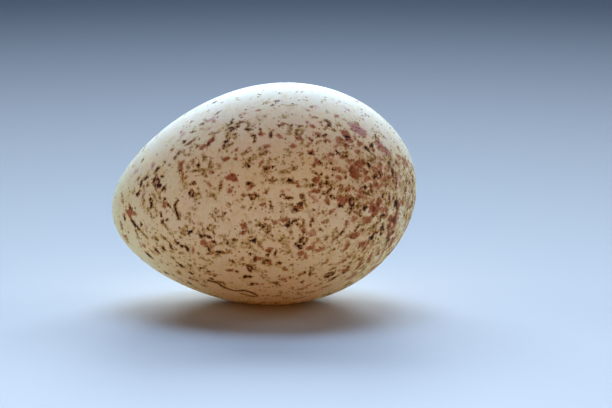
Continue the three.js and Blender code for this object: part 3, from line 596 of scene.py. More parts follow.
OLIVE_MARKS = [
    (1.7, -15, 0.6, 0.25, 90, 0.5), (2.1, 37, 0.3, 0.12, 75, 0.5), (3, -15, 0.5, 0.12, -80, 0.7),
    (3.1, 32, 0.2, 0.15, -60, 0.6), (3.6, 43, 0.25, 0.2, 90, 0.7), (3.8, 18, 0.4, 0.1, 85, 0.8),
    (3.95, 29, 0.25, 0.12, 80, 0.6), (4.25, 5, 0.3, 0.1, -80, 0.9), (4.25, 32, 0.2, 0.18, 80, 0.8),
    (4.3, 42, 0.2, 0.1, 70, 0.8), (4.35, -16, 0.3, 0.3, 0, 0.6), (4.6, 9, 0.25, 0.12, -70, 0.6),
    (4.6, 20, 0.35, 0.1, -65, 0.9), (4.85, 40, 0.3, 0.2, 45, 0.8), (4.9, -14, 0.35, 0.15, -30, 0.8),
    (4.95, 19, 0.4, 0.15, -80, 0.6), (5.25, -30.5, 0.25, 0.2, -60, 0.7), (5.25, -24.5, 0.2, 0.12, 0, 0.8),
    (5.3, -9, 0.2, 0.15, 0, 0.5), (5.4, -9.5, 0.2, 0.15, 0, 0.5), (5.45, -46, 0.35, 0.3, 0, 0.5),
    (5.5, 44, 0.2, 0.2, 0, 0.5), (5.65, -8, 0.1, 0.1, 0, 0.8), (5.85, -24, 0.3, 0.15, 0, 0.5),
    (6, 51.5, 0.2, 0.18, 0, 0.7), (6.08, -9, 0.25, 0.18, -40, 0.7), (6.12, -6, 0.18, 0.15, 0, 0.8),
    (6.2, -60, 0.4, 0.15, -35, 0.6), (6.22, -33.7, 0.25, 0.15, -40, 0.8),
    (6.25, -37, 0.3, 0.12, -60, 0.5), (6.35, -3.8, 0.18, 0.15, 0, 0.8), (6.42, 1.8, 0.15, 0.15, 0, 0.6),
    (6.45, 27, 0.35, 0.13, -85, 0.9), (6.55, 22, 0.25, 0.12, -80, 0.7), (6.6, 1, 0.35, 0.12, -85, 0.8),
    (6.75, 22.5, 0.2, 0.1, 0, 0.7), (6.8, -53, 0.25, 0.2, 0, 0.7), (6.85, 33.5, 0.25, 0.15, -80, 0.6),
    (6.9, -47, 0.35, 0.12, -80, 0.6), (6.93, 7.2, 0.3, 0.12, -15, 0.5), (7, 41.5, 0.2, 0.15, 0, 0.5),
    (7.03, -7.5, 0.3, 0.12, -80, 0.7), (7.05, 12.5, 0.25, 0.08, -65, 0.7), (7.1, -34, 0.12, 0.12, 0, 0.6),
    (7.1, -26, 0.35, 0.1, -35, 0.7), (7.15, 37, 0.25, 0.1, 10, 0.8), (7.15, 46.5, 0.2, 0.15, 0, 0.6),
    (7.17, -2, 0.14, 0.12, 0, 0.8), (7.2, 15, 0.15, 0.1, 60, 0.8), (7.3, 16, 0.15, 0.1, -10, 0.8),
    (7.35, -26, 0.12, 0.12, 0, 0.7), (7.35, 51, 0.3, 0.15, 30, 0.6), (7.37, 14.5, 0.15, 0.1, -60, 0.8),
    (7.7, -24, 0.15, 0.1, 0, 0.6), (7.7, 27, 0.25, 0.1, 10, 0.8), (7.75, -3.5, 0.2, 0.12, 0, 0.8),
    (7.75, 25.5, 0.15, 0.15, 0, 0.8), (7.75, 28.5, 0.25, 0.12, 0, 0.9), (7.8, 15, 0.15, 0.07, -80, 0.6),
    (7.8, 38.5, 0.2, 0.12, -60, 0.6), (7.85, 36, 0.3, 0.17, -60, 0.7), (7.9, -4.2, 0.18, 0.12, 80, 0.9),
    (7.95, 2, 0.15, 0.1, 0, 0.7), (8.1, 4, 0.25, 0.15, 0, 0.6), (8.1, 13.5, 0.3, 0.2, -20, 0.9),
    (8.1, 29, 0.3, 0.1, 30, 0.8), (8.15, 32, 0.25, 0.12, 75, 0.7), (8.2, -14.2, 0.18, 0.12, 0, 0.8),
    (8.2, 1.5, 0.15, 0.12, 0, 0.7), (8.2, 11.5, 0.2, 0.12, -30, 0.6), (8.3, -20.5, 0.2, 0.1, 0, 0.7),
    (8.3, -9.5, 0.3, 0.1, 10, 0.6), (8.4, -12.5, 0.15, 0.1, 0, 0.6), (8.4, 50.5, 0.3, 0.15, -10, 0.8),
    (8.42, 1.3, 0.15, 0.12, 0, 0.8), (8.45, -0.5, 0.12, 0.1, 0, 0.6), (8.55, 18, 0.5, 0.17, 65, 0.9),
    (8.55, 28, 0.2, 0.08, 20, 0.8), (8.75, -16, 0.3, 0.12, -15, 0.7), (8.78, -13.8, 0.17, 0.1, -60, 0.7),
    (8.8, -16.3, 0.25, 0.1, -25, 0.8), (8.8, -13.5, 0.2, 0.1, -75, 0.6), (8.8, 7.5, 0.15, 0.15, 0, 0.6),
    (8.88, 6.8, 0.15, 0.13, 0, 0.6), (8.9, -12, 0.2, 0.15, 0, 0.6), (9.15, -66, 0.3, 0.1, 0, 0.5),
    (9.15, 39.5, 0.25, 0.17, 0, 0.9), (9.2, -24, 0.2, 0.17, 0, 0.5), (9.2, 46, 0.3, 0.15, 60, 0.7),
    (9.25, 39.5, 0.3, 0.15, 20, 0.8), (9.25, 47, 0.25, 0.15, 0, 0.7), (9.3, -16.5, 0.2, 0.12, 0, 0.4),
    (9.3, 9, 0.2, 0.12, 0, 0.4), (9.3, 53, 0.3, 0.15, 10, 0.8), (9.35, -14, 0.2, 0.12, 40, 0.7),
    (9.55, 43.5, 0.2, 0.15, 0, 0.7), (9.6, -26, 0.3, 0.1, -85, 0.5), (9.6, 5.2, 0.17, 0.13, 0, 0.8),
    (9.65, -14, 0.45, 0.1, 85, 0.8), (9.7, -8, 0.5, 0.12, -65, 0.6), (9.7, 11.3, 0.2, 0.18, 0, 0.9),
    (9.72, -11, 0.12, 0.12, 0, 0.6), (9.75, -16.3, 0.15, 0.12, 0, 0.7), (9.78, -30, 0.3, 0.1, -80, 0.6),
    (9.85, -18.2, 0.25, 0.1, -40, 0.8), (9.85, -3, 0.15, 0.12, 0, 0.8), (9.95, -32, 0.3, 0.08, -20, 0.6),
    (9.97, -8.5, 0.12, 0.1, 0, 0.6), (10, -11.8, 0.15, 0.1, 90, 0.8), (10.03, 27, 0.4, 0.25, 90, 0.6),
    (10.05, 33.5, 0.35, 0.2, 20, 0.75), (10.08, -35.5, 0.17, 0.12, 0, 0.85),
    (10.1, -14, 0.15, 0.12, 0, 0.8), (10.1, 6.5, 0.15, 0.08, 80, 0.6), (10.1, 58.5, 0.25, 0.1, 0, 0.5),
    (10.15, -54, 0.25, 0.15, 0, 0.5), (10.15, -32.5, 0.12, 0.1, 0, 0.8),
    (10.15, 52.5, 0.15, 0.12, 0, 0.7), (10.25, -14.3, 0.25, 0.12, 30, 0.8),
    (10.3, -32.3, 0.15, 0.12, 0, 0.7), (10.3, -3.4, 0.13, 0.12, 0, 0.75), (10.3, 29.8, 0.5, 0.1, 5, 0.7),
    (10.3, 48.5, 0.25, 0.12, 85, 0.7), (10.42, -12.8, 0.15, 0.1, 30, 0.8),
    (10.55, -28.3, 0.35, 0.08, -10, 0.9), (10.6, -8, 0.12, 0.12, 0, 0.8),
    (10.62, 7.8, 0.15, 0.06, 0, 0.8), (10.65, -11.8, 0.4, 0.12, -35, 0.6),
    (10.7, -54.5, 0.2, 0.17, 0, 0.8), (10.7, 16.5, 0.2, 0.12, 0, 0.4), (10.78, 21, 0.15, 0.12, 0, 0.6),
    (10.8, 34, 0.22, 0.14, 20, 0.85), (10.8, 54, 0.2, 0.1, 85, 0.5), (10.88, -51, 0.2, 0.15, 85, 0.7),
    (10.92, 19.5, 0.15, 0.1, -20, 0.8), (10.95, 12.8, 0.15, 0.12, 0, 0.5),
    (10.95, 31.3, 0.38, 0.15, 30, 0.9), (10.95, 51.7, 0.2, 0.1, 0, 0.6), (11, 24.5, 0.2, 0.08, 0, 0.8),
    (11.03, 21.5, 0.3, 0.12, 0, 0.8), (11.05, 32.5, 0.2, 0.15, 0, 0.9), (11.15, 26, 0.15, 0.12, 0, 0.7),
    (11.2, -31, 0.2, 0.08, -20, 0.7), (11.2, 54, 0.2, 0.15, 0, 0.5), (11.25, 17, 0.4, 0.3, 0, 0.7),
    (11.25, 27.3, 0.2, 0.08, 10, 0.6), (11.3, -15, 0.4, 0.1, -45, 0.7),
    (11.35, -13.5, 0.25, 0.12, -50, 0.8), (11.35, 64.5, 0.3, 0.3, 0, 0.3),
    (11.45, -20.5, 0.35, 0.1, -25, 0.7), (11.5, 0, 0.25, 0.06, 80, 0.7),
    (11.55, -21.8, 0.2, 0.12, 0, 0.6), (11.55, -18.5, 0.25, 0.12, -40, 0.7),
    (11.55, -15.5, 0.15, 0.1, 0, 0.8), (11.55, 4.7, 0.2, 0.12, 0, 0.5), (11.55, 43.8, 0.15, 0.1, 0, 0.7),
    (11.58, -18.7, 0.15, 0.12, 0, 0.6), (11.6, 1.5, 0.3, 0.08, -85, 0.6),
    (11.65, -29.5, 0.22, 0.12, 5, 0.75), (11.8, 16.5, 0.3, 0.15, 0, 0.5), (11.8, 20.5, 0.3, 0.15, 0, 0.7),
    (11.87, 8, 0.15, 0.08, 0, 0.8), (11.9, 14.8, 0.3, 0.07, 0, 0.7), (12, 3.5, 0.25, 0.15, 0, 0.8),
    (12, 20.5, 0.15, 0.12, 0, 0.8), (12.05, 3.3, 0.2, 0.15, 0, 0.85), (12.13, 1, 0.25, 0.2, 0, 0.7),
    (12.15, 1.5, 0.25, 0.2, 0, 0.7), (12.15, 32, 0.2, 0.12, 0, 0.7), (12.2, 51.8, 0.25, 0.12, 10, 0.7),
    (12.3, 30.5, 0.2, 0.12, 0, 0.7), (12.35, 41, 0.2, 0.15, 0, 0.8), (12.37, -8.8, 0.2, 0.15, 0, 0.6),
    (12.4, 21.5, 0.3, 0.2, 0, 0.7), (12.4, 21.8, 0.25, 0.2, 0, 0.6), (12.45, 43.5, 0.35, 0.2, 65, 0.6),
    (12.6, 60.8, 0.4, 0.1, 0, 0.5), (12.63, -33.8, 0.17, 0.13, 0, 0.7), (12.67, -12, 0.12, 0.1, 0, 0.6),
    (12.73, -1, 0.17, 0.12, 0, 0.5), (12.75, 5.2, 0.15, 0.12, 80, 0.8), (12.8, -50.5, 0.2, 0.12, 0, 0.5),
    (12.8, 2.8, 0.15, 0.12, 0, 0.4), (12.87, 26.5, 0.12, 0.12, 0, 0.6),
    (12.95, -32.8, 0.35, 0.07, 15, 0.5), (12.97, 43, 0.3, 0.12, 0, 0.8),
    (13.02, -3.7, 0.15, 0.08, 0, 0.8), (13.03, 8, 0.15, 0.1, 85, 0.6), (13.12, 12.3, 0.5, 0.15, 0, 0.8),
    (13.2, 33.5, 0.17, 0.12, 0, 0.8), (13.53, -16.5, 0.12, 0.1, 0, 0.6), (13.63, -3, 0.17, 0.15, 90, 0.5),
    (13.75, 35.5, 0.15, 0.1, 0, 0.7), (13.78, -25.7, 0.12, 0.12, 0, 0.7),
    (13.82, -8.3, 0.12, 0.12, 0, 0.5), (13.9, 12.3, 0.2, 0.15, 0, 0.85),
    (13.93, 36.3, 0.12, 0.12, 0, 0.6), (14, 26.5, 0.2, 0.12, -60, 0.7), (14.07, 22, 0.2, 0.08, -85, 0.6),
    (14.22, -22.3, 0.15, 0.15, 0, 0.85), (14.35, 50, 0.25, 0.15, 0, 0.8),
    (14.45, 57.5, 0.15, 0.1, 80, 0.7), (14.7, -20.3, 0.35, 0.1, 15, 0.7), (14.78, -35, 0.2, 0.1, 20, 0.6),
    (14.95, 4, 0.15, 0.12, 0, 0.8), (15, 3.7, 0.15, 0.12, 0, 0.8), (15.15, 29.5, 0.25, 0.2, 0, 0.8),
    (15.2, -61, 0.25, 0.12, 40, 0.6), (15.3, -31.5, 0.17, 0.15, 0, 0.7), (15.35, 33.5, 0.2, 0.15, 0, 0.9),
    (15.4, -42, 0.2, 0.15, 0, 0.4), (15.42, -55, 0.4, 0.17, 40, 0.9), (15.55, 1.2, 0.3, 0.2, 60, 0.85),
    (15.6, -3.5, 0.4, 0.35, 0, 0.6), (15.6, 25, 0.17, 0.12, 0, 0.8), (15.7, -16.5, 0.25, 0.12, 0, 0.8),
    (16.1, 54, 0.15, 0.12, 0, 0.5), (16.2, 3, 0.35, 0.3, 0, 0.7), (16.3, -22, 0.6, 0.35, 20, 0.45),
    (16.35, 60, 0.2, 0.15, 0, 0.3), (16.6, 25, 0.2, 0.15, 0, 0.9), (16.75, 26.5, 0.25, 0.15, 0, 0.6),
    (16.85, 69, 0.2, 0.15, 0, 0.3), (17.05, 54, 0.3, 0.12, 60, 0.35), (17.25, 24, 0.25, 0.2, 0, 0.5),
    (17.35, -9, 0.35, 0.17, 80, 0.75), (17.6, 53, 0.3, 0.2, 60, 0.3), (17.95, 22, 0.15, 0.1, 0, 0.7),
    (18.1, -22, 0.3, 0.2, 60, 0.5),
]
LILAC_MARKS = [
    (3.5, 54, 0.3, 0.25, 0, 0.5), (3.85, 23.5, 0.3, 0.15, 45, 0.8), (4.7, 47, 0.4, 0.2, 65, 0.8),
    (4.85, 31, 0.6, 0.25, 90, 0.9), (5.4, -57, 0.3, 0.2, -30, 0.6), (6.7, 61, 0.3, 0.25, 0, 0.5),
    (8.2, 55, 0.25, 0.2, 0, 0.4), (8.4, 62, 0.6, 0.2, 15, 0.6), (10.2, -16.6, 0.15, 0.12, 0, 0.7),
    (10.6, 48.8, 0.15, 0.12, 0, 0.6), (12.3, -19, 0.2, 0.15, 0, 0.8), (13.35, 48.2, 0.17, 0.15, 0, 0.7),
    (13.45, 69.5, 0.25, 0.08, 0, 0.3), (13.52, -43.3, 0.4, 0.25, 35, 0.9),
    (13.55, 52.7, 0.12, 0.12, 0, 0.6), (13.87, 60.8, 0.25, 0.12, -15, 0.6),
    (13.92, -37.5, 0.2, 0.12, 0, 0.35), (15.6, 65, 0.4, 0.2, -30, 0.3), (15.7, 51.5, 0.25, 0.2, 0, 0.8),
    (15.88, 46.5, 0.25, 0.2, 0, 0.8), (16.1, 48.5, 1.1, 0.5, -25, 0.9), (16.4, 47, 0.4, 0.35, 0, 0.9),
    (17.3, -38, 0.5, 0.4, 60, 0.5), (17.4, 41, 0.5, 0.35, -50, 0.9), (17.55, -50, 0.4, 0.25, 60, 0.8),
    (17.55, 35.5, 0.2, 0.15, 0, 1), (17.85, 36.5, 0.6, 0.4, -40, 0.9), (17.85, 51.5, 0.25, 0.15, 0, 0.6),
    (18, -27, 0.6, 0.5, 60, 0.5), (18.5, 12, 0.5, 0.4, 0, 0.3), (19.6, -13, 0.6, 0.12, 80, 0.5),
]

# Each line is its width in mm and its route, as points down and round the shell.
DARK_STROKES = [
    (0.12, [(6.05, 13.5), (5.8, 10.5), (5.87, 6.5), (5.92, 3), (5.97, 1)]),
    (0.11, [(2.7, 2), (2.85, -1.5), (3.0, -5), (3.15, -8)]),
    (0.13, [(7.1, -44.5), (7.3, -44.7), (7.55, -44.5), (7.75, -46.5), (7.95, -49), (8.2, -50)]),
    (0.12, [(8.2, -50), (8.55, -50.8), (8.8, -50), (9.0, -49), (9.3, -50.5), (9.5, -52), (9.65, -54.5)]),
    (0.08, [(15.27, -5.8), (15.45, -7.5), (15.6, -9.2), (15.67, -10)]),
]
OLIVE_STROKES = [
    (0.12, [(3.15, -8), (3.45, -13), (3.75, -17.5)]),
    (0.14, [(8.8, -53.5), (9.05, -54.5), (9.3, -55.5), (9.6, -55.5)]),
    (0.14, [(7.65, -44), (7.95, -43.5), (8.0, -46)]),
]

# Rings are a place, a length and a width in mm, the width of the line, and a strength.
DARK_RINGS = [
    (6.9, 16.5, 0.24, 0.3, 0.08, 1),
    (9.52, -30, 0.22, 0.34, 0.075, 1),
    (12.65, 7.3, 0.18, 0.18, 0.07, 0.95),
    (4.85, 31, 0.4, 0.3, 0.075, 0.8),
    (15.22, -0.5, 0.24, 0.4, 0.08, 0.9),
    (13.52, -43.3, 0.44, 0.3, 0.075, 0.8),
]
OLIVE_RINGS = [
    (10.78, -6.8, 0.2, 0.2, 0.08, 0.9),
    (7.33, -6.5, 0.2, 0.2, 0.08, 0.6),
    (14.2, 11.8, 0.26, 0.16, 0.08, 0.9),
    (12.88, 41.5, 0.3, 0.3, 0.075, 0.9),
    (14.12, -16.8, 0.28, 0.42, 0.075, 0.9),
]


def column_angles():
    """The angles, in degrees, of the grid's columns: even steps in front, and wider ones behind."""
    front = np.linspace(-FRONT_HALF_ANGLE, FRONT_HALF_ANGLE, FRONT_COLUMNS, endpoint=False)
    back = np.linspace(FRONT_HALF_ANGLE, 360 - FRONT_HALF_ANGLE, BACK_COLUMNS, endpoint=False)
    return np.concatenate([front, back])


def turned_apart(first, second):
    """How far apart two angles are, in degrees, the short way round."""
    return np.abs((first - second + 180) % 360 - 180)


def smooth_step(value, start, end):
    """0 up to `start`, 1 from `end`, and a smooth rise between them."""
    t = np.clip((value - start) / (end - start), 0, 1)
    return t * t * (3 - 2 * t)


class Pigment:
    """One kind of mark over the whole shell: edge distance in mm, and strength from 0 to 1."""

    def __init__(self, shell):
        self.shell = shell
        self.downs = np.linspace(0, shell.down[-1], RINGS + 1)
        self.angles = column_angles()
        self.places = shell.own_place(self.downs[:, None], np.radians(self.angles)[None, :])
        self.edge = np.full(self.places.shape[:2], FAR_FROM_A_MARK)
        self.strength = np.zeros(self.places.shape[:2])

    def spot(self, down, round_angle, long, wide, lean=0.0, strength=1.0, lobes=None, band=None):
        """One spot. Long and wide are its full sizes, and lean turns it from down the shell.

        Its outline is an ellipse whose radius is changed by a sum of cosines, one for each lobe. With
        a band, the spot is a ring instead: a line of that width along the outline.
        """
        reach = SPOT_REACH * max(long, wide) - FAR_FROM_A_MARK
        rings = np.flatnonzero(np.abs(self.downs - down) < reach)
        thinnest = max(TINY, min(self.shell.radius_at(self.downs[rings[[0, -1]]])))
        columns = np.flatnonzero(
            turned_apart(self.angles, round_angle) < math.degrees(reach / thinnest) + 1
        )
        window = np.ix_(rings, columns)

        angle = math.radians(round_angle)
        centre = self.shell.own_place(np.array(down), np.array(angle))
        ahead = self.shell.own_place(np.array(down + TINY), np.array(angle)) - centre
        ahead = ahead / np.linalg.norm(ahead)
        aside = np.array([0, math.sin(angle), math.cos(angle)])
        offset = self.places[window] - centre
        turn = math.radians(lean)
        a = offset @ ahead
        b = offset @ aside
        p = (a * math.cos(turn) + b * math.sin(turn)) / (long / 2)
        q = (b * math.cos(turn) - a * math.sin(turn)) / (wide / 2)
        outline = 1.0
        if lobes is not None:
            theta = np.arctan2(q, p)
            for count, (size, phase) in enumerate(lobes, start=2):
                outline = outline + size * np.cos(count * theta + phase)
        edge = (outline - np.hypot(p, q)) * min(long, wide) / 2
        if band is not None:
            edge = band / 2 - np.abs(edge)
        # near the tips the far side of the egg lies under the same window
        edge = np.where((offset**2).sum(-1) > (reach * OTHER_SIDE) ** 2, FAR_FROM_A_MARK, edge)

        nearer = edge > self.edge[window]
        self.strength[window] = np.where(nearer, strength, self.strength[window])
        self.edge[window] = np.where(nearer, edge, self.edge[window])

    def stroke(self, route, width, strength=1.0):
        """A line drawn along a route of (down, round) points, as a chain of dots."""
        downs, rounds = np.array(route).T
        radius = self.shell.radius_at(downs)[1:]
        steps = np.hypot(np.diff(downs), np.radians(np.diff(rounds)) * radius)
        along = np.concatenate([[0], np.cumsum(steps)])
        for reached in np.arange(0, along[-1], width / DOTS_A_WIDTH):
            down = np.interp(reached, along, downs)
            round_angle = np.interp(reached, along, rounds)
            self.spot(down, round_angle, width, width, strength=strength)


def lobes_for(random, count):
    """A size and a phase for each lobe of `count` spots, which makes their outlines uneven."""
    sizes = random.normal(0, LOBE_SPREAD, (count, LOBES))
    phases = random.random((count, LOBES)) * 2 * np.pi
    return np.stack([sizes, phases], -1)


def place_marks(pigment, random, marks):
    """Spots from a list of down, round, long, wide, lean and strength."""
    for mark, lobes in zip(marks, lobes_for(random, len(marks))):
        pigment.spot(*mark, lobes)


def unseen(rounds):
    """The share of the random marks that stays: none where the marks are placed, then ever more."""
    past = (rounds - SEEN_TO) % 360
    beyond_the_placed = past < 360 - (SEEN_TO - SEEN_FROM)
    return beyond_the_placed * (FEWEST + (1 - FEWEST) * smooth_step(past, 0, THINNED_OUT))


def off_the_top(rounds):
    """The share that stays: none along the bare strip on top, and all well off it."""
    return smooth_step(turned_apart(rounds, BARE_STRIP), STRIP_CLEAR, STRIP_OVER)


def all_round(rounds):
    """The share that stays: all of them."""
    return 1.0


def scatter(pigment, random, count, crowding, size, strength, where):
    """Random spots, as thick down the shell as `crowding` says, which is given down from 0 to 1.

    Size and strength each give a range: the middle size and its spread, and the least and the most.
    Where gives the share of them that stays, from the angles round the shell.
    """
    shell = pigment.shell
    density = crowding(shell.down / shell.down[-1]) * shell.radius
    total = np.concatenate([[0], np.cumsum(density[1:] * np.diff(shell.down))])
    downs = np.interp(random.random(count) * total[-1], total, shell.down)
    rounds = random.random(count) * 360
    sizes = np.exp(random.normal(math.log(size[0]), size[1], count))
    stretches = np.sqrt(random.uniform(*STRETCHES, count))
    leans = random.random(count) * 180
    strengths = random.uniform(*strength, count)
    lobes = lobes_for(random, count)
    allowed = random.random(count) < where(rounds)
    for i in range(count):
        if allowed[i]:
            long, wide = sizes[i] * stretches[i], sizes[i] / stretches[i]
            pigment.spot(downs[i], rounds[i], long, wide, leans[i], strengths[i], lobes[i])


def crowded(at_the_tip, at_the_blunt_end, start):
    """A crowding that is level up to `start` and rises from there to the blunt end."""
    rise = at_the_blunt_end - at_the_tip
    return lambda part: at_the_tip + rise * np.clip((part - start) / (1 - start), 0, 1) ** CROWDING_POWER


# Random marks in the order that they are drawn: the kind, how many, how they crowd (at the tip, at the
# blunt end, and the part of the way down where that starts to change), the middle size in mm and its
# spread, the least and most strength, and what share of them stays.
SCATTERED = [
    ("lilac", 160, (0.3, 3, 0.5), (0.35, 0.3), (0.3, 0.8), unseen),
    ("olive", 520, (1, 1.4, 0.4), (0.19, 0.3), (0.4, 0.9), unseen),
    ("rust", 520, (0.6, 5, 0.5), (0.25, 0.35), (0.5, 1), unseen),
    ("dark", 560, (1, 1.3, 0.5), (0.16, 0.3), (0.7, 1), unseen),
    ("olive", 260, (1, 1, 0.5), (0.12, 0.2), (0.2, 0.6), all_round),
    ("rust", 160, (0.5, 3, 0.4), (0.12, 0.2), (0.2, 0.6), all_round),
    ("olive", 420, (0, 1, 0.6), (0.2, 0.3), (0.2, 0.8), off_the_top),
    ("rust", 150, (0, 1, 0.62), (0.28, 0.35), (0.2, 0.7), off_the_top),
]


def make_markings(shell):
    """All four kinds of mark, each as its own field over the shell."""
    random = np.random.default_rng(RANDOM_SEED)
    placed = {"lilac": LILAC_MARKS, "olive": OLIVE_MARKS, "rust": RUST_MARKS, "dark": DARK_MARKS}
    pigments = {kind: Pigment(shell) for kind in placed}
    for kind, marks in placed.items():
        place_marks(pigments[kind], random, marks)

    for kind, strokes in {"dark": DARK_STROKES, "olive": OLIVE_STROKES}.items():
        for width, route in strokes:
            pigments[kind].stroke(route, width, LINE_STRENGTH)
    for kind, rings in {"dark": DARK_RINGS, "olive": OLIVE_RINGS}.items():
        for down, round_angle, long, wide, band, strength in rings:
            pigments[kind].spot(down, round_angle, long, wide, 0, strength, band=band)
    for down, round_angle, long, wide, _, _ in DARK_RINGS:
        pigments["lilac"].spot(down, round_angle, long, wide, 0, RING_FILL)

    for kind, count, crowding, size, strength, where in SCATTERED:
        scatter(pigments[kind], random, count, crowded(*crowding), size, strength, where)
    return pigments


# ---------------------------------------------------------------------------------- the mesh

# How thick the fine flecks stand, as about the share of cells that hold one: anywhere, what closeness
# to a mark adds, and what the blunt end adds. Closeness runs between two edge distances in mm, and
# the blunt end between two parts of the way down.
FLECKS_ANYWHERE = 0.05
FLECKS_BY_A_MARK = 0.5
FLECKS_AT_THE_BLUNT_END = 0.3
CLOSE_TO_A_MARK = (-0.35, 0.0)
BLUNT_END = (0.55, 0.9)

# How strong the brown haze is, and the parts of the way down where it starts and is full.
HAZE = 0.45
HAZE_SPAN = (0.58, 0.78)

# The cosines of the angle from the middle of the bare strip where it starts and is full, and the part
# of the flecks that it takes away.
STRIP_COSINES = (0.68, 0.94)
STRIP_TAKES = 0.6


def shell_mesh(shell):
    """The shell as one closed surface: a ring for each step down it, and one point at each tip.

    A point is where down and round put it on the outline turned about the long axis, laid down on
    the table.
    """
    downs = np.linspace(0, shell.down[-1], RINGS + 1)[1:-1]
    rounds = np.radians(column_angles())
    rings = shell.laid_down(shell.own_place(downs[:, None], rounds[None, :])).reshape(-1, 3)
    tips = shell.laid_down(shell.own_place(shell.down[[0, -1]], np.zeros(2)))
    places = np.vstack([rings, tips]) * MM

    columns = len(rounds)
    here = np.arange((RINGS - 1) * columns).reshape(RINGS - 1, columns)
    beside = np.roll(here, -1, axis=1)
    quads = np.stack([here[:-1], here[1:], beside[1:], beside[:-1]], -1).reshape(-1, 4)
    pointed = np.stack([np.full(columns, len(rings)), here[0], beside[0]], -1)
    blunt = np.stack([np.full(columns, len(rings) + 1), beside[-1], here[-1]], -1)

    mesh = bpy.data.meshes.new("speckled_shell")
    mesh.from_pydata(places.tolist(), [], quads.tolist() + pointed.tolist() + blunt.tolist())
    mesh.shade_smooth()
    return mesh


def crowding_and_haze(pigments):
    """How thick the fine flecks stand and how much brown haze there is, over the whole grid.

    Flecks are a level amount, plus more close to a mark, plus more towards the blunt end. The haze
    rises over the blunt part. The bare strip takes away a part of the flecks and all of the haze.
    """
    nearest = np.max([pigment.edge for pigment in pigments.values()], axis=0)
    part = np.linspace(0, 1, RINGS + 1)[:, None]
    strip = smooth_step(np.cos(np.radians(column_angles() - BARE_STRIP)), *STRIP_COSINES)
    by_a_mark = FLECKS_BY_A_MARK * smooth_step(nearest, *CLOSE_TO_A_MARK)
    at_the_blunt_end = FLECKS_AT_THE_BLUNT_END * smooth_step(part, *BLUNT_END)
    crowding = (FLECKS_ANYWHERE + by_a_mark + at_the_blunt_end) * (1 - STRIP_TAKES * strip)
    haze = HAZE * smooth_step(part, *HAZE_SPAN) * (1 - strip)
    return {"crowding": crowding, "haze": haze}


def give_field(mesh, name, kind, key, field):
    """Puts a field over the grid on the mesh, as values for the rings and then for the two tips."""
    rings = field[1:-1].reshape(-1, *field.shape[2:])
    values = np.concatenate([rings, field[0, :1], field[-1, :1]]).astype(np.float32)
    mesh.attributes.new(name, kind, "POINT").data.foreach_set(key, values.ravel())


def make_egg():
    """The finished shell, which stands for the solid, with its markings as fields on its mesh."""
    shell = Shell(*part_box("egg"))
    pigments = make_markings(shell)
    mesh = shell_mesh(shell)
    for name, pigment in pigments.items():
        field = np.stack([pigment.edge, pigment.strength, 0 * pigment.edge], -1)
        give_field(mesh, name, "FLOAT_VECTOR", "vector", field)
    for name, field in crowding_and_haze(pigments).items():
        give_field(mesh, name, "FLOAT", "value", field)
    mesh.materials.append(eggshell_material())
    egg = bpy.data.objects.new("speckled_shell", mesh)
    bpy.context.scene.collection.objects.link(egg)
    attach(egg, "root")
    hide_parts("egg")


# --------------------------------------------------------------------------------- the studio

# The floor is pale in a painted pool of light of this radius, and its colour is painted darker towards
# the rim, as painted shade. A higher fall makes it darken sooner. The pool's middle lies this far
# towards the camera.
BOARD_NEAR = "#e4e0d2"
FLOOR_PAINTED_SHADE = "#101c26"
POOL_CENTRE = 30.0
POOL_RADIUS = 172.0
POOL_FALL = 1.4
BOARD_RADIUS = 900.0
BOARD_SIDES = 96


def floor_material():
    """Matt board: warm off-white with almost no gloss, with painted shade in dark blue far away.

    The share of the near colour drops evenly from 1 in the pool's middle to 0 at its rim, and is then
    raised to the power of the fall. The rest is the far colour.
    """
    material, tree, shader = new_material("matt_board_painted_light_pool")
    place = node(tree, "TexCoord").outputs["Object"]
    # painted light: pale near the egg and painted dark far off, a pool of light painted on the floor
    centred = node(tree, "Mapping", {"Vector": place, "Location": (0, POOL_CENTRE * MM, 0)})
    away = node(tree, "VectorMath", {0: centred.outputs["Vector"]}, operation="LENGTH")
    pool = {"Value": away.outputs["Value"], "From Max": POOL_RADIUS * MM, "To Min": 1.0, "To Max": 0.0}
    fade = node(tree, "MapRange", pool)
    near = node(tree, "Math", {0: fade.outputs["Result"], 1: POOL_FALL}, operation="POWER")
    shades = {0: near.outputs["Value"], 6: linear(FLOOR_PAINTED_SHADE), 7: linear(BOARD_NEAR)}
    colour = node(tree, "Mix", shades, data_type="RGBA")
    tree.links.new(colour.outputs[2], shader.inputs["Base Color"])
    shader.inputs["Roughness"].default_value = 0.95
    shader.inputs["Specular IOR Level"].default_value = 0.06
    return material


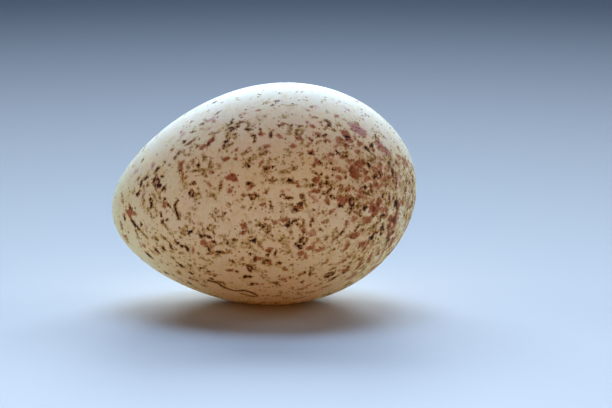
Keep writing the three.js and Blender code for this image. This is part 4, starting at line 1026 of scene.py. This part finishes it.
def make_floor():
    """A round board, with its top at the height that the egg stands on."""
    angles = np.arange(BOARD_SIDES) * 2 * np.pi / BOARD_SIDES
    rim = np.stack([np.cos(angles), np.sin(angles), 0 * angles], -1) * BOARD_RADIUS * MM
    mesh = bpy.data.meshes.new("studio_floor")
    mesh.from_pydata(rim.tolist(), [], [list(range(BOARD_SIDES))])
    mesh.materials.append(floor_material())
    floor = bpy.data.objects.new("studio_floor", mesh)
    bpy.context.scene.collection.objects.link(floor)


LIGHT_DISTANCE = 700.0
AIR_COLOUR = "#9cb4d4"
AIR_STRENGTH = 0.08

# Softboxes, each with its bearing from straight behind the egg, its height as an angle above the
# table, its width and height in mm, its power in watts and its colour.
SOFTBOXES = {
    "window": (0, 33, 900, 240, 9.5, "#c6dcff"),
    "low_window": (0, 15, 200, 120, 2.5, "#cce2ff"),
    "skylight": (0, 65, 400, 200, 3.5, "#9cc4ff"),
    "left_side": (-75, 25, 300, 300, 0.6, "#cadaff"),
    "right_side": (65, 25, 300, 300, 1.2, "#cadaff"),
    "room_lamp": (180, 12, 400, 200, 1.15, "#ffa957"),
}


def add_softbox(name, bearing, rise, width, height, power, colour):
    """A soft light at a set distance that faces the egg, turned about it by bearing and rise."""
    data = bpy.data.lights.new(name, "AREA")
    data.shape = "RECTANGLE"
    data.size = width * MM
    data.size_y = height * MM
    data.energy = power
    data.color = linear(colour)[:3]
    light = bpy.data.objects.new(name, data)
    bpy.context.scene.collection.objects.link(light)
    turn = math.radians(bearing)
    lift = math.radians(rise)
    light.location = (
        LIGHT_DISTANCE * MM * math.sin(turn) * math.cos(lift),
        LIGHT_DISTANCE * MM * math.cos(turn) * math.cos(lift),
        LIGHT_DISTANCE * MM * math.sin(lift) + CAMERA_AIM[2] * MM,
    )
    light.rotation_euler = (math.pi / 2 - lift, 0.0, math.pi - turn)
    light.visible_camera = False


def make_lights():
    """All the softboxes, and a weak even light from all round. Colours are shown as they are."""
    for name, settings in SOFTBOXES.items():
        add_softbox(name, *settings)
    world = bpy.data.worlds.new("studio_air")
    bpy.context.scene.world = world
    world.use_nodes = True
    tree = world.node_tree
    tree.nodes.clear()
    sky = node(tree, "Background", {"Color": linear(AIR_COLOUR), "Strength": AIR_STRENGTH})
    node(tree, "OutputWorld", {"Surface": sky.outputs["Background"]})
    bpy.context.scene.view_settings.view_transform = "Standard"


make_camera()
make_egg()
make_floor()
make_lights()
